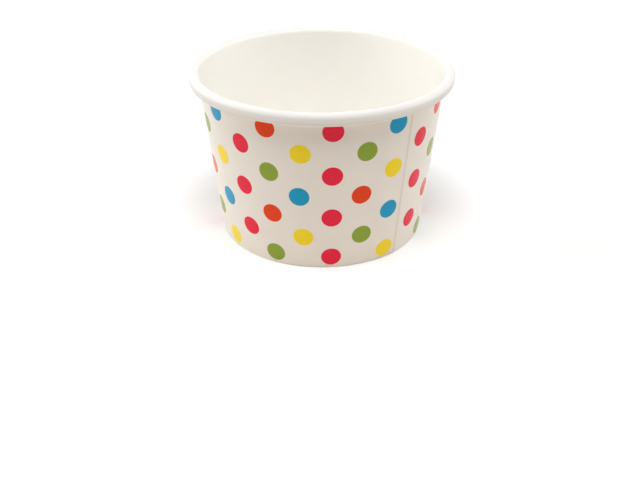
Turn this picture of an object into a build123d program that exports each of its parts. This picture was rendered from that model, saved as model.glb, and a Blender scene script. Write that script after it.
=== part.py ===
from build123d import *
import os
from math import asin, atan2, degrees

# Paper dessert cup: a conical sidewall blank, lap-sealed up one side, rolled over at the rim and
# folded in under the foot, where its hem grips the skirt of a flat bottom blank.
# Millimetres and degrees. +Z is up, the origin is the centre of the foot, the front is -Y.

# Overall form
RIM_DIAMETER = 96.0  # outside of the rolled rim
CUP_HEIGHT = 62.3  # foot to the top of the rim
BASE_DIAMETER = 77.2  # outside of the wall, carried down to the foot
WALL_PAPER = 0.40  # thickness of the sidewall blank
BOTTOM_PAPER = 0.34  # thickness of the bottom blank
SEAL_FILM = 0.02  # melted coating between sealed layers

# Rolled rim, taller than it is wide, with its inner side on the line of the wall
ROLL_WIDTH = 3.5  # outside of the roll, across
ROLL_HEIGHT = 4.5  # outside of the roll, from its top to its lower side
ROLL_GAP = 0.13  # between the wall and the roll where it closes
TUCK_STEP = 0.25  # by which the tucked edge turns tighter than the closing turn
ROLL_TUCK = 70.0  # turn of the cut edge, tucked up inside the roll

# Crimped foot: wall, skirt and hem in three parallel layers
CRIMP_HEIGHT = 7.0  # top of the crimped band
CRIMP_DIAMETER = 78.7  # outside of the wall there
CRIMP_RADIUS = 4.0
HEM_HEIGHT = 5.8  # cut edge of the hem above the foot
FOLD_RADIUS = 0.27  # mid-layer radius at both corners of the fold

# Bottom blank
FLOOR_HEIGHT = 8.0  # upper face of the floor
DRAW_RADIUS = 0.8  # mid-layer radius between floor and skirt
SKIRT_LIFT = 0.10  # cut edge of the skirt above the fold

# Lap seam
SEAM_ANGLE = 41.4  # free edge of the outer layer, from the front towards +X
SEAM_LAP = 7.0  # width of the double layer
SEAM_RAMP = 3.5  # run over which the outer layer climbs on the inner one
LAP_FOOT = 0.7  # lower end of the double layer, clear of the fold
LAP_CLEARANCE = 0.12  # upper end below the roll


def layer(path, right, left):
    """Face between two offsets of a smooth path, cut square at both ends."""
    sides = []
    for offset in (left, -right):
        side = []
        for edge in path:
            points = []
            for at in (0, 0.5, 1):
                along = edge % at
                points.append((edge @ at) + Vector(-along.Y, along.X) * offset)
            if edge.geom_type == GeomType.LINE:
                side.append(Line(points[0], points[2]))
            else:
                side.append(ThreePointArc(*points))
        sides.append(side)
    start = Line(sides[0][0] @ 0, sides[1][0] @ 0)
    end = Line(sides[0][-1] @ 1, sides[1][-1] @ 1)
    return Plane.XZ * make_face([*sides[0], *sides[1], start, end])


def bent(points, radii):
    """Edges of a polyline in order, each inner corner rounded by its own radius."""
    return FilletPolyline(*points, radius=radii).order_edges()


# Middle layer of the sidewall blank, as (radius, height)
half = WALL_PAPER / 2
roll_mid = ROLL_WIDTH / 2 - half
roll_low = CUP_HEIGHT - ROLL_HEIGHT

foot = Vector(BASE_DIAMETER / 2 - half, half)
crimp = Vector(CRIMP_DIAMETER / 2 - half, CRIMP_HEIGHT)
roll_outer = RIM_DIAMETER / 2 - half
roll_centre = Vector(roll_outer - roll_mid, CUP_HEIGHT - half - roll_mid)

# The wall rises from the crimped band to touch the roll's inner side
reach = roll_centre - crimp
wall_up = reach.rotate(Axis.Z, degrees(asin(roll_mid / reach.length))).normalized()
wall_top = roll_centre + Vector(-wall_up.Y, wall_up.X) * roll_mid
wall_lean = degrees(atan2(wall_up.X, wall_up.Y))
wall_slope = wall_up.X / wall_up.Y


def wall_face(height):
    """Radius of the wall's outer face at a height."""
    return wall_top.X + (height - wall_top.Y) * wall_slope + half / wall_up.Y


# The closing turn of the roll fills the room up to the wall, less the gap
close_room = roll_outer - half - ROLL_GAP - wall_face(roll_low + half)
close_mid = close_room / (2 + wall_slope)

# The crimped layers run parallel to the wall, from the foot up
up = (crimp - foot).normalized()
inward = Vector(-up.Y, up.X)


def on_layer(depth, height):
    """Point at a height on the line lying this deep behind the wall's middle layer."""
    start = foot + inward * depth
    return start + up * ((height - start.Y) / up.Y)


hem_depth = WALL_PAPER + BOTTOM_PAPER + 2 * SEAL_FILM
skirt_depth = (WALL_PAPER + BOTTOM_PAPER) / 2 + SEAL_FILM
fold_inner = on_layer(hem_depth, half)
hem_top = on_layer(hem_depth, HEM_HEIGHT)

# Sidewall: hem, fold, crimped band, wall, then over the top of the roll and round to its cut edge
wall_path = bent(
    [hem_top, fold_inner, foot, crimp, wall_top],
    [FOLD_RADIUS, FOLD_RADIUS, CRIMP_RADIUS],
)
over = JernArc(wall_top, wall_up, roll_mid, wall_lean - 180)
outer_side = Line(over @ 1, Vector(roll_outer, roll_low + half + close_mid))
under = JernArc(outer_side @ 1, outer_side % 1, close_mid, -180)
tuck = JernArc(under @ 1, under % 1, close_mid - TUCK_STEP, -ROLL_TUCK)
roll_path = [over.edge(), outer_side.edge(), under.edge(), tuck.edge()]
blank = layer([*wall_path, *roll_path], half, half)
sidewall = revolve(blank, Axis.Z, 360)

# Lap seam: a second layer on the outside, with one cut edge and one ramp
lap_top = wall_top - wall_up * ((wall_top.Y - roll_low + LAP_CLEARANCE) / wall_up.Y)
lap_path = bent([on_layer(0, LAP_FOOT), crimp, lap_top], [CRIMP_RADIUS])
mean_radius = (crimp.X + wall_top.X) / 2
lap_turn = degrees(SEAM_LAP / mean_radius)
ramp_turn = degrees(SEAM_RAMP / mean_radius)
lap_start = SEAM_ANGLE - 90 - lap_turn
double = Rot(0, 0, lap_start) * layer(lap_path, half + WALL_PAPER, 0)
flush = Rot(0, 0, lap_start - ramp_turn) * layer(lap_path, half * 0.7, 0)
lap = revolve(double, Axis.Z, lap_turn)
ramp = loft([flush, double], ruled=True)
sidewall = sidewall + lap + ramp

# Bottom: floor and down-turned skirt of one drawn disc
floor_z = FLOOR_HEIGHT - BOTTOM_PAPER / 2
skirt_low = on_layer(skirt_depth, WALL_PAPER + SKIRT_LIFT)
bottom_path = bent([Vector(0, floor_z), on_layer(skirt_depth, floor_z), skirt_low], [DRAW_RADIUS])
bottom = layer(bottom_path, BOTTOM_PAPER / 2, BOTTOM_PAPER / 2)
bottom_disc = revolve(bottom, Axis.Z, 360)

os.makedirs("parts", exist_ok=True)
export_step(sidewall, "parts/sidewall.step")
export_step(bottom_disc, "parts/bottom_disc.step")
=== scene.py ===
"""Paper dessert cup: the looks of a printed paper cup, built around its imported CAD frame.

The sidewall is one sheet of paper. Its section is followed from the cut edge of the hem, round the
fold of the foot, up the wall and over into the rolled rim, and it is wrapped once round the axis
with a lap seam. The bottom is a drawn disc whose skirt stands between the wall and the hem.
Lengths are metres, +Z is up and the front of the cup is -Y.
"""

import cmath
from math import asin, ceil, pi, radians, tan

import bpy
import numpy as np
from bpy.props import FloatProperty, FloatVectorProperty, PointerProperty
from mathutils import Matrix, Vector


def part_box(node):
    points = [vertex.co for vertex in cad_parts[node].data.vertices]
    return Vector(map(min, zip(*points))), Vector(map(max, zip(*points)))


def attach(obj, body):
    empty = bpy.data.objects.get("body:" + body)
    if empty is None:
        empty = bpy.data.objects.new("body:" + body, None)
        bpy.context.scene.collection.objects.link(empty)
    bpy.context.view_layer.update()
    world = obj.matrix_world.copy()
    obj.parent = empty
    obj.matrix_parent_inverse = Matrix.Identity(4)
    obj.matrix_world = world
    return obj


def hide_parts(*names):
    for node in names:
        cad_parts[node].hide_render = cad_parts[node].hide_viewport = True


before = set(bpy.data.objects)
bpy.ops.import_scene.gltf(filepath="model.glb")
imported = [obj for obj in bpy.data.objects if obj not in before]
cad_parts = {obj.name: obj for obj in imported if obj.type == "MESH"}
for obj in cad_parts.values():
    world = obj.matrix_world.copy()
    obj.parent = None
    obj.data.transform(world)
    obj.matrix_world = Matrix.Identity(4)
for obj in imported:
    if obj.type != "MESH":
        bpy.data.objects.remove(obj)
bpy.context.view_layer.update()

bl_info = {
    "name": "Paper Dessert Cup",
    "version": (1, 0, 0),
    "blender": (4, 5, 0),
    "location": "3D View > Sidebar > Cup",
    "description": "Builds a dotted paper dessert cup and a plain stage for it",
    "category": "Object",
}

WALL_LOW, WALL_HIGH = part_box("sidewall")
FLOOR_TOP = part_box("bottom_disc")[1][2]
MM = 0.001

# Fineness of the meshes
BEND_STEP = radians(12)  # of one face on a bend of the paper
WALL_FACES = (8, 1, 10, 46, 8)  # along the hem, fold, crimped band, wall and its end behind the roll
ROLL_FACES = 3  # along the upright outer side of the roll
BOTTOM_FACES = (24, 6)  # along the floor and the skirt
ROUND_POINTS = 260  # round the sidewall, as far as the ramp
LAP_POINTS = 13  # over the ramp, and again over the lap
DISC_POINTS = 181  # round the bottom
HUB_RADIUS = 0.5 * MM  # of the middle of the bottom, which is closed by a fan
SHARP = radians(40)  # between faces that don't shade as one surface
STRAIGHT = 1e-6  # turn of a corner that needs no arc
UPRIGHT = 0.9  # least outward share of a normal on the wall

# Waves of the wall: how many in a turn, share of the unevenness, phase
WAVES = ((2, 0.22, 0.7), (3, 0.16, 2.1), (7, 0.08, 0.0))
WAVES_MEAN = 0.5
WAVES_GROW = 30 * MM  # height above the stiff crimped band over which they reach their full size
DISH_SLOPE = 1.15  # over 1, so that the floor's sag is full a little way before the middle

# The paper and its print
SLIP_FADE = 3.0  # power by which slip and drop die away from the sheet's end to the front
INK_GLOSS = 0.6  # by which ink is smoother, on the scale of the board's fibres
CLOUD_RELIEF = 0.6  # height of the board's soft clouds, as a share of its fibres'
SHOW_THROUGH = 0.015  # of the print, on the inside

# The print's map holds turns from the front and metres down the wall, the other one the flat blank
PRINT_MAP = "Print"
BAKE_MAP = "OFBake"
BAKE_MARGIN = 0.002
BAKE_HEIGHT = 0.465  # of each face of the wall
BAKE_OUTSIDE, BAKE_INSIDE = 0.525, 0.015  # where the faces of the wall begin
BAKE_EDGES, BAKE_EDGE_STEP, BAKE_EDGE_HEIGHT = 0.490, 0.005, 0.004  # the cut edges, one above the other
BAKE_ABOVE, BAKE_BELOW = (0.25, 0.25), (0.75, 0.25)  # middles of the bottom's faces
BAKE_DISC = 0.24  # radius of these faces

# The stage around the cup
FLOOR_REACH = 4.0  # half the side of the floor
FLOOR_DROP = 0.02 * MM  # below the foot, so that the two don't lie in one plane
GLOW_NEAR, GLOW_FAR = 0.15, 0.8  # from the cup's axis, where the floor's glow grows to white
LAMP_AIM = (0, 0, 0.03)
KEY_PLACE, KEY_SIZE = (0.0, -0.23, 0.74), 0.35
SIDE_PLACE, SIDE_SIZE = (0.80, 0.20, 0.36), 0.8  # on the right, and mirrored on the left
RIGHT_SHARE = 0.72  # of the left lamp's power
SENSOR = 36.0  # width in millimetres, as the camera counts it
NEAREST = 0.01  # that the camera shows


def length(name, description, default):
    """A length in metres that a user can change."""
    return FloatProperty(name=name, description=description, default=default, unit="LENGTH", precision=5)


def angle(name, description, default):
    """An angle that a user can change."""
    return FloatProperty(name=name, description=description, default=default, subtype="ANGLE")


def colour(name, description, default):
    """A linear colour that a user can change."""
    return FloatVectorProperty(
        name=name, description=description, default=default, subtype="COLOR", size=3, min=0, max=1
    )


class CupSizes(bpy.types.PropertyGroup):
    """Form of the two paper blanks, as made up into the cup."""

    rim_diameter: length("Rim", "Outside of the rolled rim", WALL_HIGH[0] - WALL_LOW[0])
    height: length("Height", "Foot to the top of the rim", WALL_HIGH[2])
    base_diameter: length("Base", "Outside of the wall at the foot", 77.2 * MM)
    wall_paper: length("Wall paper", "Thickness of the sidewall blank", 0.40 * MM)
    bottom_paper: length("Bottom paper", "Thickness of the bottom blank", 0.34 * MM)
    film: length("Film", "Melted coating between sealed layers", 0.02 * MM)
    roll_width: length("Roll width", "Outside of the rolled rim's section, across", 3.5 * MM)
    roll_height: length("Roll height", "Outside of the rolled rim's section, upwards", 4.5 * MM)
    roll_gap: length("Roll gap", "Between the wall and the roll where it closes", 0.13 * MM)
    tuck_step: length("Tuck step", "By which the tucked edge turns tighter than the roll", 0.25 * MM)
    roll_tuck: angle("Tuck", "Turn of the cut edge inside the roll", radians(70))
    crimp_height: length("Crimp height", "Top of the crimped band", 7.0 * MM)
    crimp_diameter: length("Crimp", "Outside of the wall at the top of the crimped band", 78.7 * MM)
    crimp_radius: length("Crimp radius", "Middle layer at the top of the crimped band", 4.0 * MM)
    hem_height: length("Hem", "Cut edge of the hem above the foot", 5.8 * MM)
    fold_radius: length("Fold radius", "Middle layer at the corners of the fold", 0.27 * MM)
    floor_height: length("Floor", "Upper face of the floor above the foot", FLOOR_TOP)
    floor_dish: length("Floor dish", "Sag of the floor at its middle", 0.25 * MM)
    draw_radius: length("Draw radius", "Middle layer between floor and skirt", 0.8 * MM)
    skirt_lift: length("Skirt lift", "Cut edge of the skirt above the fold", 0.10 * MM)
    seam_angle: angle("Seam", "Free edge of the lap, from the front to the right", radians(41.4))
    seam_lap: length("Lap", "Width of the double layer", 7.0 * MM)
    seam_ramp: length("Ramp", "Run over which the outer layer climbs", 6.5 * MM)
    lap_foot: length("Lap foot", "Lower end of the double layer", 0.7 * MM)
    lap_fade: length("Lap fade", "Height over which the double layer is pressed flat at its ends", 0.8 * MM)
    edge_lift: length("Edge lift", "By which the free edge of the lap stands off", 0.08 * MM)
    edge_run: length("Edge run", "Width of the strip that stands off", 2.0 * MM)
    unevenness: length("Unevenness", "Most that the paper lies inside its true form", 0.10 * MM)


class CupPrint(bpy.types.PropertyGroup):
    """Dots printed on the outside, and the colours of the paper."""

    column_pitch: angle("Column pitch", "Turn from one column of dots to the next", 0.26099)
    dot_diameter: length("Dot", "Diameter of a dot", 7.2 * MM)
    row_pitch: length("Row pitch", "Between dots of one column", 16.765 * MM)
    first_row: length("First row", "Middle of the first row, down the wall from the rim", 7.48 * MM)
    top_edge: length("Top edge", "Upper edge of the print, down the wall from the rim", 3.0 * MM)
    turn: angle("Turn", "First column, from the front to the right", 0.0825)
    stagger: length("Stagger", "Sideways play of the dots in every other column", 0.48 * MM)
    slip: length("Slip", "By which columns stand further round at the sheet's end", 0.33 * MM)
    slip_lean: FloatProperty(name="Slip lean", description="Growth of the slip down the wall", default=0.044)
    drop: length("Drop", "By which rows stand lower at the sheet's end", 0.88 * MM)
    red: colour("Red", "Ink of every third column", (0.90, 0.011, 0.056))
    orange: colour("Orange", "Ink that takes turns with green", (0.86, 0.054, 0.001))
    green: colour("Green", "Ink that takes turns with orange", (0.29, 0.405, 0.042))
    blue: colour("Blue", "Ink that takes turns with yellow", (0.005, 0.352, 0.63))
    yellow: colour("Yellow", "Ink that takes turns with blue", (1.0, 0.77, 0.020))
    paper: colour("Paper", "Outside of the cup stock", (0.94, 0.895, 0.84))
    coated: colour("Coated paper", "Inside of the cup stock", (0.988, 0.969, 0.918))
    # Painted shade: coated paper darkened for the roll, whose top the overhead lamp lights most
    rim: colour("Rim", "Coated paper where it is stretched round the roll", (0.835, 0.815, 0.787))
    # Painted shade: coated paper darkened for the floor of the cup, which faces the overhead lamp
    bottom: colour("Bottom", "Upper face of the bottom", (0.84, 0.816, 0.766))
    raw: colour("Raw edge", "Cut edges of the paper", (0.78, 0.71, 0.60))
    # Painted shade: a darker line on the inner layer beside the free edge of the lap, where the outer
    # layer's step shades it; the print keeps clear of its width
    press: colour("Lap shade", "Line beside the free edge of the lap", (0.80, 0.75, 0.69))
    lap_shade_width: length("Lap shade width", "Reach of that line from the edge, left unprinted", 2.0 * MM)


class CupStage(bpy.types.PropertyGroup):
    """Floor, light and camera."""

    floor: colour("Floor", "Colour of the floor, as it lights the cup from below", (0.82, 0.75, 0.66))
    backdrop: colour("Backdrop", "Colour of the floor, as it is seen", (0.80, 0.80, 0.80))
    glow: FloatProperty(name="Glow", description="What makes the lit floor white to the eye", default=0.20)
    sky: FloatProperty(name="Sky", description="Even light from all round", default=0.16)
    key: FloatProperty(name="Key", description="Lamp overhead", default=4.2, unit="POWER")
    side: FloatProperty(name="Sides", description="Lamps at both sides", default=5.0, unit="POWER")
    lens: FloatProperty(name="Lens", description="Focal length", default=48.13, unit="CAMERA")
    eye: FloatVectorProperty(
        name="Eye",
        description="Place of the camera",
        default=(-0.00074, -0.29979, 0.16440),
        subtype="TRANSLATION",
    )
    pitch: angle("Pitch", "Camera turned down from level", 0.54367)
    roll: angle("Roll", "Camera turned about its view", -0.002)


def unit(way):
    """Direction of a step from one point of the section to another."""
    return way / abs(way)


def bend(start, heading, radius, turn):
    """Samples of an arc, left turns positive: points and headings without the last, then the end."""
    middle = start + 1j * heading * radius * (1 if turn > 0 else -1)
    count = max(2, ceil(abs(turn) / BEND_STEP))
    swing = [cmath.exp(1j * turn * k / count) for k in range(count + 1)]
    samples = [(middle + (start - middle) * w, heading * w) for w in swing]
    return samples[:-1], samples[-1]


def rounded(corners, radii, spans):
    """Samples (point, heading) of a line through corners, each inner one rounded by its radius."""
    samples, at = [], corners[0]
    for i, corner in enumerate(corners[1:]):
        heading = unit(corner - corners[i])
        turn, cut = 0, 0
        if i < len(radii):
            turn = cmath.phase((corners[i + 2] - corner) / heading)
            cut = radii[i] * tan(abs(turn) / 2)
        end = corner - heading * cut
        samples += [(at + (end - at) * k / spans[i], heading) for k in range(spans[i])]
        at = end
        if abs(turn) > STRAIGHT:
            arc, (at, heading) = bend(at, heading, radii[i], turn)
            samples += arc
    return samples + [(at, heading)]


class Section:
    """The cup's section, as (radius, height) in one complex number, worked out from its sizes."""

    def __init__(self, sizes):
        half = sizes.wall_paper / 2
        self.foot = complex(sizes.base_diameter / 2 - half, half)
        self.crimp = complex(sizes.crimp_diameter / 2 - half, sizes.crimp_height)
        self.up = unit(self.crimp - self.foot)

        # The wall touches the roll's inner side, and the roll closes on the wall, less a gap
        self.roll_mid = sizes.roll_width / 2 - half
        self.roll_low = sizes.height - sizes.roll_height
        roll_outer = sizes.rim_diameter / 2 - half
        centre = complex(roll_outer - self.roll_mid, sizes.height - half - self.roll_mid)
        reach = centre - self.crimp
        self.wall_up = unit(reach) * cmath.exp(1j * asin(self.roll_mid / abs(reach)))
        self.wall_top = centre + 1j * self.wall_up * self.roll_mid
        slope = self.wall_up.real / self.wall_up.imag
        face = self.on_wall(self.roll_low + half).real + half / self.wall_up.imag
        self.close_mid = (roll_outer - half - sizes.roll_gap - face) / (2 + slope)
        self.close_start = complex(roll_outer, self.roll_low + half + self.close_mid)
        self.sizes = sizes

    def on_wall(self, height):
        """Point at a height on the middle layer of the wall."""
        return self.wall_top + self.wall_up * ((height - self.wall_top.imag) / self.wall_up.imag)

    def on_layer(self, depth, height):
        """Point at a height on the line lying this deep behind the wall's middle layer."""
        start = self.foot + 1j * self.up * depth
        return start + self.up * ((height - start.imag) / self.up.imag)

    def wall(self):
        """The sidewall from the hem's cut edge to the edge tucked into the roll."""
        sizes = self.sizes
        deep = sizes.wall_paper + sizes.bottom_paper + 2 * sizes.film
        corners = [
            self.on_layer(deep, sizes.hem_height),
            self.on_layer(deep, sizes.wall_paper / 2),
            self.foot,
            self.crimp,
            self.on_wall(self.roll_low - sizes.lap_fade),
            self.wall_top,
        ]
        radii = [sizes.fold_radius] * 2 + [sizes.crimp_radius, 0]
        samples = rounded(corners, radii, WALL_FACES)
        at, heading = samples.pop()
        arc, (at, heading) = bend(at, heading, self.roll_mid, -pi / 2 - cmath.phase(heading))
        drop = self.close_start - at
        samples += arc + [(at + drop * k / ROLL_FACES, heading) for k in range(ROLL_FACES)]
        at = self.close_start
        for radius, turn in ((self.close_mid, pi), (self.close_mid - sizes.tuck_step, sizes.roll_tuck)):
            arc, (at, heading) = bend(at, heading, radius, -turn)
            samples += arc
        return np.array(samples + [(at, heading)])

    def bottom(self):
        """The bottom from the hub at its middle to the cut edge of the skirt."""
        sizes = self.sizes
        deep = (sizes.wall_paper + sizes.bottom_paper) / 2 + sizes.film
        level = sizes.floor_height - sizes.bottom_paper / 2
        corners = [
            complex(HUB_RADIUS, level),
            self.on_layer(deep, level),
            self.on_layer(deep, sizes.wall_paper + sizes.skirt_lift),
        ]
        return np.array(rounded(corners, [sizes.draw_radius], BOTTOM_FACES))


def smooth(x):
    """Soft step from 0 to 1."""
    x = np.clip(x, 0, 1)
    return x * x * (3 - 2 * x)


def run(line):
    """Distance of each point from the first, along the line."""
    return np.concatenate([[0], np.cumsum(np.abs(np.diff(line)))])


def wall_rows(section):
    """Rows of the sidewall: points, outward normals, distance down the wall and press of the lap."""
    sizes = section.sizes
    line, heading = section.wall().T
    normal = -1j * heading
    steps = run(line)

    # Counted from the rim's level, and carried on along the paper
    at_top = np.argmin(np.abs(line - section.wall_top))
    down = steps[at_top] - steps + (sizes.height - section.wall_top.imag) / section.wall_up.imag

    # The lap lies on the wall only: it is pressed flat at the foot and behind the roll
    at_foot = np.argmin(np.abs(line - section.foot))
    on_wall = (normal.real > UPRIGHT) & (steps > steps[at_foot]) & (steps <= steps[at_top])
    from_foot = smooth((line.imag - sizes.lap_foot) / sizes.lap_fade)
    to_roll = smooth((section.roll_low - line.imag) / sizes.lap_fade + 1)
    return line, normal, down, np.where(on_wall, from_foot * to_roll, 0)


def wall_turns(section):
    """Columns of the sidewall: turns from the front, rise of the outer layer, number of the full turn."""
    sizes = section.sizes
    mean = (section.crimp.real + section.wall_top.real) / 2
    lap, ramp = sizes.seam_lap / mean, sizes.seam_ramp / mean
    climb = 2 * pi - ramp

    # From the inner layer's edge once round and over the ramp, then over the lap to the free edge
    once = np.append(np.linspace(0, climb, ROUND_POINTS), np.linspace(climb, 2 * pi, LAP_POINTS)[1:])
    turn = np.append(once, np.linspace(2 * pi, 2 * pi + lap, LAP_POINTS)[1:])
    rise = (sizes.wall_paper + sizes.film) * smooth((turn - climb) / ramp)
    rise += sizes.edge_lift * smooth(1 - (turn[-1] - turn) * mean / sizes.edge_run)
    return turn + sizes.seam_angle - lap, rise, len(once) - 1


def placed(section, turn):
    """Points in space of section points, for turns from the front towards +X, as (turn, row, 3)."""
    r, z = section.real, section.imag
    s, c = np.sin(turn)[:, None], np.cos(turn)[:, None]
    return np.stack([r * s, -r * c, z + 0 * s], -1)


OUTSIDE, INSIDE, EDGE = range(3)


class Sheet:
    """Quads of a paper sheet with two faces and cut edges, gathered before they become a mesh."""

    def __init__(self):
        self.points, self.count = [], 0
        self.quads, self.prints, self.bakes, self.finish = [], [], [], []

    def add_points(self, points):
        """Adds a grid of points, and gives their numbers in the same grid."""
        numbers = np.arange(points[..., 0].size).reshape(points.shape[:-1]) + self.count
        self.points.append(points.reshape(-1, 3))
        self.count += numbers.size
        return numbers

    def add(self, numbers, prints, bakes, finish, flip=False):
        """Adds the quads of a grid of point numbers, with both maps and a finish."""
        corners = [(slice(0, -1), slice(0, -1)), (slice(1, None), slice(0, -1))]
        corners += [(slice(1, None), slice(1, None)), (slice(0, -1), slice(1, None))]
        if flip:
            corners.reverse()
        for store, grid in ((self.quads, numbers), (self.prints, prints), (self.bakes, bakes)):
            whole = np.stack([grid[c] for c in corners], 2)
            store.append(whole.reshape((-1, 4) + grid.shape[2:]))
        self.finish.append(np.full(len(self.quads[-1]), finish))

    def add_fan(self, ring, prints, bakes, hub, finish, flip=False):
        """Fills a closed ring with quads round a hub, given as its number and its place on both maps."""
        for store, line, middle in zip((self.quads, self.prints, self.bakes), (ring, prints, bakes), hub):
            first, second, third = line[:-2:2], line[1:-1:2], line[2::2]
            fan = [np.broadcast_to(middle, first.shape), first, second, third]
            if flip:
                fan.reverse()
            store.append(np.stack(fan, 1))
        self.finish.append(np.full(len(self.quads[-1]), finish))

    def add_edge(self, ends, along, place, printed, flip=False):
        """A cut edge: one row of quads between the two faces, with a narrow place of its own on the map."""
        low = BAKE_EDGES + BAKE_EDGE_STEP * place
        fraction = np.linspace(BAKE_MARGIN, 1 - BAKE_MARGIN, len(along))
        bakes = paired(fraction, (low, low + BAKE_EDGE_HEIGHT))
        self.add(np.stack(ends, 1), paired(along, (printed, printed)), bakes, EDGE, flip)

    def mesh(self, name, materials):
        """The finished object, smooth but for its cut edges."""
        mesh = bpy.data.meshes.new(name)

        # Points that no face uses are left out
        used, quads = np.unique(np.concatenate(self.quads), return_inverse=True)
        points = np.concatenate(self.points)[used]
        mesh.from_pydata(points.tolist(), [], quads.reshape(-1, 4).tolist())
        for material in materials:
            mesh.materials.append(material)
        mesh.polygons.foreach_set("material_index", np.concatenate(self.finish).astype(np.int32))
        for title, store in ((PRINT_MAP, self.prints), (BAKE_MAP, self.bakes)):
            layer = mesh.uv_layers.new(name=title)
            layer.data.foreach_set("uv", np.concatenate(store).astype(np.float32).ravel())
        mesh.polygons.foreach_set("use_smooth", np.ones(len(mesh.polygons), bool))
        mesh.set_sharp_from_angle(angle=SHARP)
        mesh.validate()
        piece = bpy.data.objects.new(name, mesh)
        bpy.context.scene.collection.objects.link(piece)
        return piece


def paired(across, down):
    """Grid of pairs from two lists, for a map."""
    return np.stack(np.meshgrid(across, down, indexing="ij"), -1)


class CUP_OT_sidewall(bpy.types.Operator):
    """Wrap the printed sidewall: hem, fold, wall, rolled rim and lap seam"""

    bl_idname = "cup.sidewall"
    bl_label = "Sidewall"

    def execute(self, context):
        sizes, inks = context.scene.cup_sizes, context.scene.cup_print
        section = Section(sizes)
        line, normal, down, press = wall_rows(section)
        theta, rise, last = wall_turns(section)

        waves = WAVES_MEAN + sum(share * np.sin(count * theta + phase) for count, share, phase in WAVES)
        sag = sizes.unevenness * waves[:, None] * smooth((line.imag - sizes.crimp_height) / WAVES_GROW)
        middle = line + normal * (rise[:, None] * press) - sag
        half = sizes.wall_paper / 2

        sheet = Sheet()
        steps = run(line)
        across = (theta - theta[0]) / (theta[-1] - theta[0]) * (1 - 2 * BAKE_MARGIN) + BAKE_MARGIN
        along = steps / steps[-1] * BAKE_HEIGHT
        prints = paired(theta / (2 * pi), down)
        raised = np.flatnonzero(press > 0)
        lap = slice(raised[0], raised[-1] + 1)
        faces = []
        for finish, offset, base in ((OUTSIDE, half, BAKE_OUTSIDE), (INSIDE, -half, BAKE_INSIDE)):
            numbers = sheet.add_points(placed(middle + normal * offset, theta))
            numbers[last, press == 0] = numbers[0, press == 0]
            bakes = paired(across, along + base)
            for part in (np.s_[: last + 1], np.s_[last:, lap]):
                sheet.add(numbers[part], prints[part], bakes[part], finish, finish == INSIDE)
            faces.append(numbers)

        # Cut edges of the hem, the roll, the inner layer and the outer layer
        once, under = slice(0, last + 1), slice(lap.start - 1, lap.stop + 1)
        sheet.add_edge([face[once, 0] for face in faces], theta[once], 0, down[0], True)
        sheet.add_edge([face[once, -1] for face in faces], theta[once], 1, down[-1])
        sheet.add_edge([face[0, under] for face in faces], down[under], 2, 0)
        sheet.add_edge([face[-1, lap] for face in faces], down[lap], 3, 0, True)

        # Both ends of the double layer, where it runs out into the single one
        turns = np.append(theta[last], theta[last:])
        lower, upper = (4, lap.start, under.start, True), (5, lap.stop - 1, lap.stop, False)
        for place, row, beyond, flip in (lower, upper):
            ends = [np.append(face[0, beyond], face[last:, row]) for face in faces]
            sheet.add_edge(ends, turns, place, down[row], flip)

        finishes = [printed_paper(inks, section), coated_paper(inks, section), raw_edge(inks)]
        piece = sheet.mesh("sidewall_paper", finishes)
        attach(piece, "root")
        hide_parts("sidewall")
        return {"FINISHED"}


class CUP_OT_bottom(bpy.types.Operator):
    """Draw the bottom: floor, drawn corner and skirt"""

    bl_idname = "cup.bottom"
    bl_label = "Bottom"

    def execute(self, context):
        sizes, inks = context.scene.cup_sizes, context.scene.cup_print
        section = Section(sizes)
        line, heading = section.bottom().T
        normal = 1j * heading
        inwards = 1 - line.real / line.real.max()
        dish = sizes.floor_dish * smooth(DISH_SLOPE * inwards) * (line.imag > sizes.crimp_height)
        line = line - 1j * dish
        half = sizes.bottom_paper / 2

        sheet = Sheet()
        steps = run(line) + line[0].real
        theta = np.linspace(0, 2 * pi, DISC_POINTS)
        prints = paired(theta / (2 * pi), steps - steps[0])
        disc = BAKE_DISC * steps / steps[-1]
        flat = np.stack([np.outer(np.sin(theta), disc), np.outer(np.cos(theta), disc)], -1)
        edges = []
        for finish, offset, base in ((INSIDE, half, BAKE_ABOVE), (OUTSIDE, -half, BAKE_BELOW)):
            numbers = sheet.add_points(placed(line + normal * offset, theta))
            numbers[-1] = numbers[0]
            bakes = flat + base
            sheet.add(numbers, prints, bakes, finish, finish == INSIDE)
            number = sheet.add_points(np.array([[0, 0, (line[0] + normal[0] * offset).imag]]))[0]
            hub = (number, (0, 0), base)
            sheet.add_fan(numbers[:, 0], prints[:, 0], bakes[:, 0], hub, finish, finish == OUTSIDE)
            edges.append(numbers[:, -1])
        sheet.add_edge(edges, theta, 3, 0, True)

        piece = sheet.mesh("bottom_paper_disc", [board_paper(inks), floor_paper(inks), raw_edge(inks)])
        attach(piece, "root")
        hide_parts("bottom_disc")
        return {"FINISHED"}


def put(tree, socket, value):
    """Feeds a socket from another one, or sets its value."""
    if isinstance(value, bpy.types.NodeSocket):
        tree.links.new(value, socket)
    else:
        socket.default_value = value


def calc(tree, operation, *values):
    """Output of a Math node."""
    node = tree.nodes.new("ShaderNodeMath")
    node.operation = operation
    for socket, value in zip(node.inputs, values):
        put(tree, socket, value)
    return node.outputs[0]


def ramped(tree, value, low, high, at_low=0.0, at_high=1.0):
    """Soft step of a value, as a Map Range node."""
    node = tree.nodes.new("ShaderNodeMapRange")
    node.interpolation_type = "SMOOTHSTEP"
    names = ("Value", "From Min", "From Max", "To Min", "To Max")
    for name, item in zip(names, (value, low, high, at_low, at_high)):
        put(tree, node.inputs[name], item)
    return node.outputs["Result"]


def mixed(tree, factor, first, second):
    """Mix of two colours, by the Mix node's colour sockets."""
    node = tree.nodes.new("ShaderNodeMix")
    node.data_type = "RGBA"
    for index, item in ((0, factor), (6, first), (7, second)):
        put(tree, node.inputs[index], item)
    return node.outputs[2]


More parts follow.
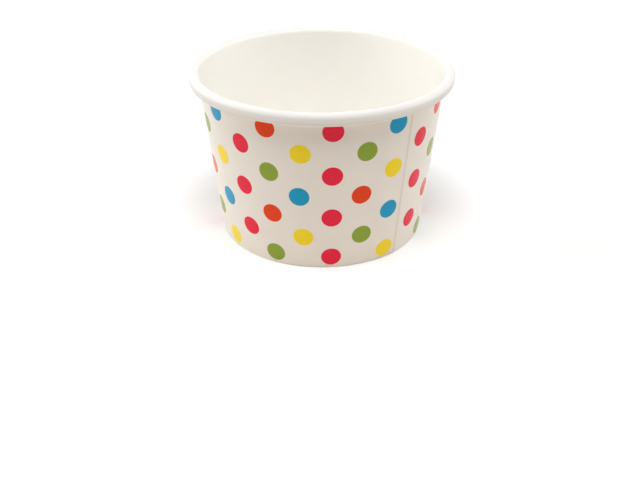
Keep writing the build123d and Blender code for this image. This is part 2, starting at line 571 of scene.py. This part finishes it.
def noise(tree, size, detail=2.0, roughness=0.5, stretch=(1, 1, 1)):
    """Noise in object space whose features are about this large, in metres."""
    place = tree.nodes.new("ShaderNodeTexCoord")
    mapping = tree.nodes.new("ShaderNodeMapping")
    mapping.inputs["Scale"].default_value = stretch
    node = tree.nodes.new("ShaderNodeTexNoise")
    tree.links.new(place.outputs["Object"], mapping.inputs["Vector"])
    tree.links.new(mapping.outputs["Vector"], node.inputs["Vector"])
    node.inputs["Scale"].default_value = 1 / size
    node.inputs["Detail"].default_value = detail
    node.inputs["Roughness"].default_value = roughness
    return node.outputs["Fac"]


def opaque(ink):
    """A colour with its alpha."""
    return (*ink, 1.0)


def print_place(tree):
    """Where a point lies on the sheet: turns from the front, and metres down the wall."""
    spot = tree.nodes.new("ShaderNodeUVMap")
    spot.uv_map = PRINT_MAP
    split = tree.nodes.new("ShaderNodeSeparateXYZ")
    tree.links.new(spot.outputs["UV"], split.inputs[0])
    return split.outputs["X"], split.outputs["Y"]


def dot_field(inks, section):
    """Node group of the print: columns and rows of dots on the flattened wall, each in its ink."""
    tree = bpy.data.node_groups.get("Dot field")
    if tree:
        return tree
    tree = bpy.data.node_groups.new("Dot field", "ShaderNodeTree")
    tree.interface.new_socket("Softness", in_out="INPUT", socket_type="NodeSocketFloat")
    tree.interface.new_socket("Cover", in_out="OUTPUT", socket_type="NodeSocketFloat")
    tree.interface.new_socket("Ink", in_out="OUTPUT", socket_type="NodeSocketColor")
    entry = tree.nodes.new("NodeGroupInput")
    leave = tree.nodes.new("NodeGroupOutput")
    around, down = print_place(tree)

    # The front lies one turn along the sheet, so columns are counted from there, back to its other end
    columns = 2 * pi / inks.column_pitch
    place = calc(tree, "MULTIPLY_ADD", around, columns, -columns - inks.turn / inks.column_pitch)
    column = calc(tree, "ROUND", place)
    odd = calc(tree, "FLOORED_MODULO", column, 2.0)
    third = calc(tree, "FLOORED_MODULO", column, 3.0)
    end = calc(tree, "POWER", calc(tree, "SUBTRACT", 1.0, around), SLIP_FADE)

    # Every other column stands half a row lower
    level = calc(tree, "MULTIPLY_ADD", end, -inks.drop, down)
    row_place = calc(tree, "DIVIDE", calc(tree, "SUBTRACT", level, inks.first_row), inks.row_pitch)
    row_place = calc(tree, "MULTIPLY_ADD", odd, -0.5, row_place)
    row = calc(tree, "ROUND", row_place)
    odd_row = calc(tree, "FLOORED_MODULO", row, 2.0)
    second = calc(tree, "FLOORED_MODULO", calc(tree, "ADD", row, column), 2.0)

    # Distance from the nearest dot's middle, along and across the wall
    play = calc(tree, "MULTIPLY_ADD", odd_row, -2 * inks.stagger, inks.stagger)
    play = calc(tree, "MULTIPLY", calc(tree, "MULTIPLY", odd, around), play)
    slip = calc(tree, "MULTIPLY", end, calc(tree, "MULTIPLY_ADD", down, inks.slip_lean, inks.slip))
    taper = section.wall_up.real
    wide = section.on_wall(section.sizes.height).real
    radius = calc(tree, "MULTIPLY_ADD", down, -taper, wide)
    aside = calc(tree, "MULTIPLY", calc(tree, "SUBTRACT", place, column), inks.column_pitch)
    aside = calc(tree, "SUBTRACT", calc(tree, "MULTIPLY", aside, radius), calc(tree, "ADD", play, slip))
    below = calc(tree, "MULTIPLY", calc(tree, "SUBTRACT", row_place, row), inks.row_pitch)
    square = calc(tree, "ADD", calc(tree, "POWER", aside, 2.0), calc(tree, "POWER", below, 2.0))
    away = calc(tree, "SQRT", square)

    # Ink lies on the dots, below the print's upper edge and clear of the lap
    soft = entry.outputs["Softness"]
    reach, top = inks.dot_diameter / 2, inks.top_edge
    dot = ramped(tree, away, calc(tree, "SUBTRACT", reach, soft), calc(tree, "ADD", reach, soft), 1.0, 0.0)
    edge = ramped(tree, down, calc(tree, "SUBTRACT", top, soft), calc(tree, "ADD", top, soft))
    bare = (section.sizes.seam_angle + inks.lap_shade_width / section.crimp.real) / (2 * pi)
    cover = calc(tree, "MULTIPLY", dot, edge)
    cover = calc(tree, "MULTIPLY", cover, calc(tree, "GREATER_THAN", around, bare))
    tree.links.new(cover, leave.inputs["Cover"])

    warm = mixed(tree, second, opaque(inks.orange), opaque(inks.green))
    cool = mixed(tree, second, opaque(inks.blue), opaque(inks.yellow))
    ink = mixed(tree, calc(tree, "COMPARE", third, 1.0, 0.5), opaque(inks.red), warm)
    ink = mixed(tree, calc(tree, "COMPARE", third, 2.0, 0.5), ink, cool)
    tree.links.new(ink, leave.inputs["Ink"])
    return tree


def new_paper(name, specular):
    """Empty material with a shader of this reflection: the material, its tree and the shader."""
    material = bpy.data.materials.new(name)
    material.use_nodes = True
    tree = material.node_tree
    shader = tree.nodes["Principled BSDF"]
    shader.inputs["Specular IOR Level"].default_value = specular
    return material, tree, shader


def print_on(tree, inks, section, softness):
    """Cover and ink of the print on this material."""
    group = tree.nodes.new("ShaderNodeGroup")
    group.node_tree = dot_field(inks, section)
    group.inputs["Softness"].default_value = softness
    return group.outputs["Cover"], group.outputs["Ink"]


def roughen(tree, shader, height, depth):
    """Fine relief of a surface, from a height of 0 to 1."""
    bump = tree.nodes.new("ShaderNodeBump")
    bump.inputs["Strength"].default_value = 1.0
    bump.inputs["Distance"].default_value = depth
    tree.links.new(height, bump.inputs["Height"])
    tree.links.new(bump.outputs["Normal"], shader.inputs["Normal"])


def shaded(tree, ink, pattern, amount):
    """A colour that a pattern darkens by up to this share."""
    dark = tuple(part * (1 - amount) for part in ink)
    return mixed(tree, pattern, opaque(dark), opaque(ink))


def painted_lap_shade(tree, inks, section):
    """1 on a narrow line of painted shade beside the free edge of the lap, on the inner layer that the outer
    layer's step shades, else 0.
    """
    aside = calc(tree, "MULTIPLY_ADD", print_place(tree)[0], 2 * pi, -section.sizes.seam_angle)
    aside = calc(tree, "MULTIPLY", calc(tree, "ABSOLUTE", aside), section.crimp.real)
    return ramped(tree, aside, inks.lap_shade_width / 2, inks.lap_shade_width, 1.0, 0.0)


def printed_paper(inks, section):
    """Outside of the cup: clay-coated board with printed dots, which are smoother than the board."""
    material, tree, shader = new_paper("dotted_paper", specular=0.17)
    fibre = noise(tree, size=0.35 * MM, detail=3.0, roughness=0.6, stretch=(1, 1, 0.45))
    cloud = noise(tree, size=9 * MM)
    board = shaded(tree, inks.paper, cloud, amount=0.05)
    # Painted shade beside the free edge of the lap, mixed into the board's colour
    board = mixed(tree, painted_lap_shade(tree, inks, section), board, opaque(inks.press))
    cover, ink = print_on(tree, inks, section, softness=0.12 * MM)
    speckle = ramped(tree, noise(tree, size=0.5 * MM), low=0.25, high=0.5, at_low=0.97, at_high=1.0)
    put(tree, shader.inputs["Base Color"], mixed(tree, calc(tree, "MULTIPLY", cover, speckle), board, ink))
    matt = calc(tree, "MULTIPLY_ADD", cover, -INK_GLOSS, fibre)
    put(tree, shader.inputs["Roughness"], ramped(tree, matt, low=-0.4, high=0.8, at_low=0.22, at_high=0.34))
    roughen(tree, shader, calc(tree, "MULTIPLY_ADD", cloud, CLOUD_RELIEF, fibre), depth=0.012 * MM)
    return material


def coated_paper(inks, section):
    """Inside of the cup and the rim: film-coated board, through which the print shows faintly, darkened on
    the roll as painted shade.
    """
    material, tree, shader = new_paper("coated_paper", specular=0.2)
    peel = noise(tree, size=1.6 * MM, detail=1.0)
    board = shaded(tree, inks.coated, noise(tree, size=12 * MM), amount=0.02)
    # Painted shade: the roll, fading out over the top of the inside wall, takes the darker rim colour
    rolled = ramped(tree, print_place(tree)[1], low=-1.0 * MM, high=2.0 * MM, at_low=1.0, at_high=0.0)
    board = mixed(tree, rolled, board, opaque(inks.rim))
    cover, ink = print_on(tree, inks, section, softness=1.2 * MM)
    show_through = calc(tree, "MULTIPLY", cover, SHOW_THROUGH)
    put(tree, shader.inputs["Base Color"], mixed(tree, show_through, board, ink))
    put(tree, shader.inputs["Roughness"], ramped(tree, peel, low=0.2, high=0.8, at_low=0.36, at_high=0.46))
    roughen(tree, shader, peel, depth=0.010 * MM)
    return material


def floor_paper(inks):
    """Upper face of the bottom: coated board, unprinted, darkened as painted shade."""
    material, tree, shader = new_paper("coated_floor", specular=0.2)
    peel = noise(tree, size=1.4 * MM, detail=1.0)
    # The bottom colour is coated paper darkened as painted shade
    board = shaded(tree, inks.bottom, noise(tree, size=10 * MM), amount=0.04)
    put(tree, shader.inputs["Base Color"], board)
    put(tree, shader.inputs["Roughness"], ramped(tree, peel, low=0.2, high=0.8, at_low=0.38, at_high=0.50))
    roughen(tree, shader, peel, depth=0.012 * MM)
    return material


def board_paper(inks):
    """Underside of the bottom: bare board with its long fibres."""
    material, tree, shader = new_paper("bare_board", specular=0.25)
    fibre = noise(tree, size=0.5 * MM, detail=3.0, roughness=0.65, stretch=(1, 0.3, 1))
    put(tree, shader.inputs["Base Color"], shaded(tree, inks.paper, fibre, amount=0.10))
    put(tree, shader.inputs["Roughness"], ramped(tree, fibre, low=0.3, high=0.7, at_low=0.68, at_high=0.82))
    roughen(tree, shader, fibre, depth=0.020 * MM)
    return material


def raw_edge(inks):
    """Cut edges: layers of pulp."""
    material = bpy.data.materials.get("raw_edge")
    if material:
        return material
    material, tree, shader = new_paper("raw_edge", specular=0.2)
    pulp = noise(tree, size=0.15 * MM)
    put(tree, shader.inputs["Base Color"], shaded(tree, inks.raw, pulp, amount=0.15))
    put(tree, shader.inputs["Roughness"], ramped(tree, pulp, low=0.3, high=0.7, at_low=0.80, at_high=0.92))
    roughen(tree, shader, pulp, depth=0.02 * MM)
    return material


def seen_rays(tree):
    """1 for rays that show the background, straight, in a gloss or through glass; 0 for those that light."""
    rays = tree.nodes.new("ShaderNodeLightPath").outputs
    seen = calc(tree, "MAXIMUM", rays["Is Camera Ray"], rays["Is Transmission Ray"])
    return calc(tree, "MAXIMUM", seen, rays["Is Glossy Ray"])


def stage_paper(look):
    """The floor: warm where it lights the cup from below, and white away from the cup where it is seen."""
    material, tree, shader = new_paper("stage_floor", specular=0.0)
    seen = seen_rays(tree)
    put(tree, shader.inputs["Base Color"], mixed(tree, seen, opaque(look.floor), opaque(look.backdrop)))
    shader.inputs["Roughness"].default_value = 0.9
    shader.inputs["Emission Color"].default_value = (1, 1, 1, 1)
    away = tree.nodes.new("ShaderNodeVectorMath")
    away.operation = "LENGTH"
    tree.links.new(tree.nodes.new("ShaderNodeNewGeometry").outputs["Position"], away.inputs[0])
    glow = ramped(tree, away.outputs["Value"], GLOW_NEAR, GLOW_FAR, look.glow, 1.0)
    put(tree, shader.inputs["Emission Strength"], calc(tree, "MULTIPLY", seen, glow))
    return material


def lamp(name, place, size, power):
    """A soft square lamp that looks at the cup."""
    light = bpy.data.lights.new(name, "AREA")
    light.size = size
    light.energy = power
    item = bpy.data.objects.new(name, light)
    item.location = place
    item.rotation_euler = (Vector(LAMP_AIM) - Vector(place)).to_track_quat("-Z", "Y").to_euler()
    bpy.context.scene.collection.objects.link(item)


class CUP_OT_stage(bpy.types.Operator):
    """Set the pale floor, the soft light and the camera"""

    bl_idname = "cup.stage"
    bl_label = "Stage"

    def execute(self, context):
        look, scene = context.scene.cup_stage, context.scene
        scene.view_settings.view_transform = "Standard"

        mesh = bpy.data.meshes.new("stage_floor")
        corners = [(x * FLOOR_REACH, y * FLOOR_REACH, 0) for x, y in ((-1, -1), (1, -1), (1, 1), (-1, 1))]
        mesh.from_pydata(corners, [], [(0, 1, 2, 3)])
        mesh.materials.append(stage_paper(look))
        floor = bpy.data.objects.new("stage_floor", mesh)
        floor.location.z = -FLOOR_DROP
        scene.collection.objects.link(floor)

        world = bpy.data.worlds.new("stage_sky")
        world.use_nodes = True
        tree = world.node_tree
        sky = tree.nodes["Background"]
        sky.inputs["Color"].default_value = (1, 1, 1, 1)
        strength = calc(tree, "MULTIPLY_ADD", seen_rays(tree), 1 - look.sky, look.sky)
        put(tree, sky.inputs["Strength"], strength)
        scene.world = world

        lamp("lamp_key", KEY_PLACE, KEY_SIZE, look.key)
        x, y, z = SIDE_PLACE
        lamp("lamp_left", (-x, y, z), SIDE_SIZE, look.side)
        lamp("lamp_right", (x, y, z), SIDE_SIZE, look.side * RIGHT_SHARE)

        camera = bpy.data.cameras.new("camera")
        camera.lens = look.lens
        camera.sensor_width = SENSOR
        camera.sensor_fit = "HORIZONTAL"
        camera.clip_start = NEAREST
        eye = bpy.data.objects.new("camera", camera)
        tilt = Matrix.Rotation(pi / 2 - look.pitch, 4, "X") @ Matrix.Rotation(look.roll, 4, "Z")
        eye.matrix_world = Matrix.Translation(look.eye) @ tilt
        scene.collection.objects.link(eye)
        scene.camera = eye
        return {"FINISHED"}


class CUP_PT_panel(bpy.types.Panel):
    """Buttons and settings of the cup"""

    bl_idname = "CUP_PT_panel"
    bl_label = "Paper Dessert Cup"
    bl_space_type = "VIEW_3D"
    bl_region_type = "UI"
    bl_category = "Cup"

    def draw(self, context):
        layout = self.layout
        for operator in PIECES:
            layout.operator(operator.bl_idname)
        for group in (context.scene.cup_sizes, context.scene.cup_print, context.scene.cup_stage):
            box = layout.box()
            for name in group.__annotations__:
                box.prop(group, name)


PIECES = (CUP_OT_sidewall, CUP_OT_bottom, CUP_OT_stage)
GROUPS = {"cup_sizes": CupSizes, "cup_print": CupPrint, "cup_stage": CupStage}
CLASSES = (*GROUPS.values(), *PIECES, CUP_PT_panel)


def register():
    """Adds the classes and the settings of a scene."""
    for item in CLASSES:
        bpy.utils.register_class(item)
    for name, group in GROUPS.items():
        setattr(bpy.types.Scene, name, PointerProperty(type=group))


def unregister():
    """Takes the settings and the classes away again."""
    for name in GROUPS:
        delattr(bpy.types.Scene, name)
    for item in reversed(CLASSES):
        bpy.utils.unregister_class(item)


def main():
    """Builds every piece and the stage."""
    register()
    bpy.ops.cup.sidewall()
    bpy.ops.cup.bottom()
    bpy.ops.cup.stage()


if __name__ == "__main__":
    main()
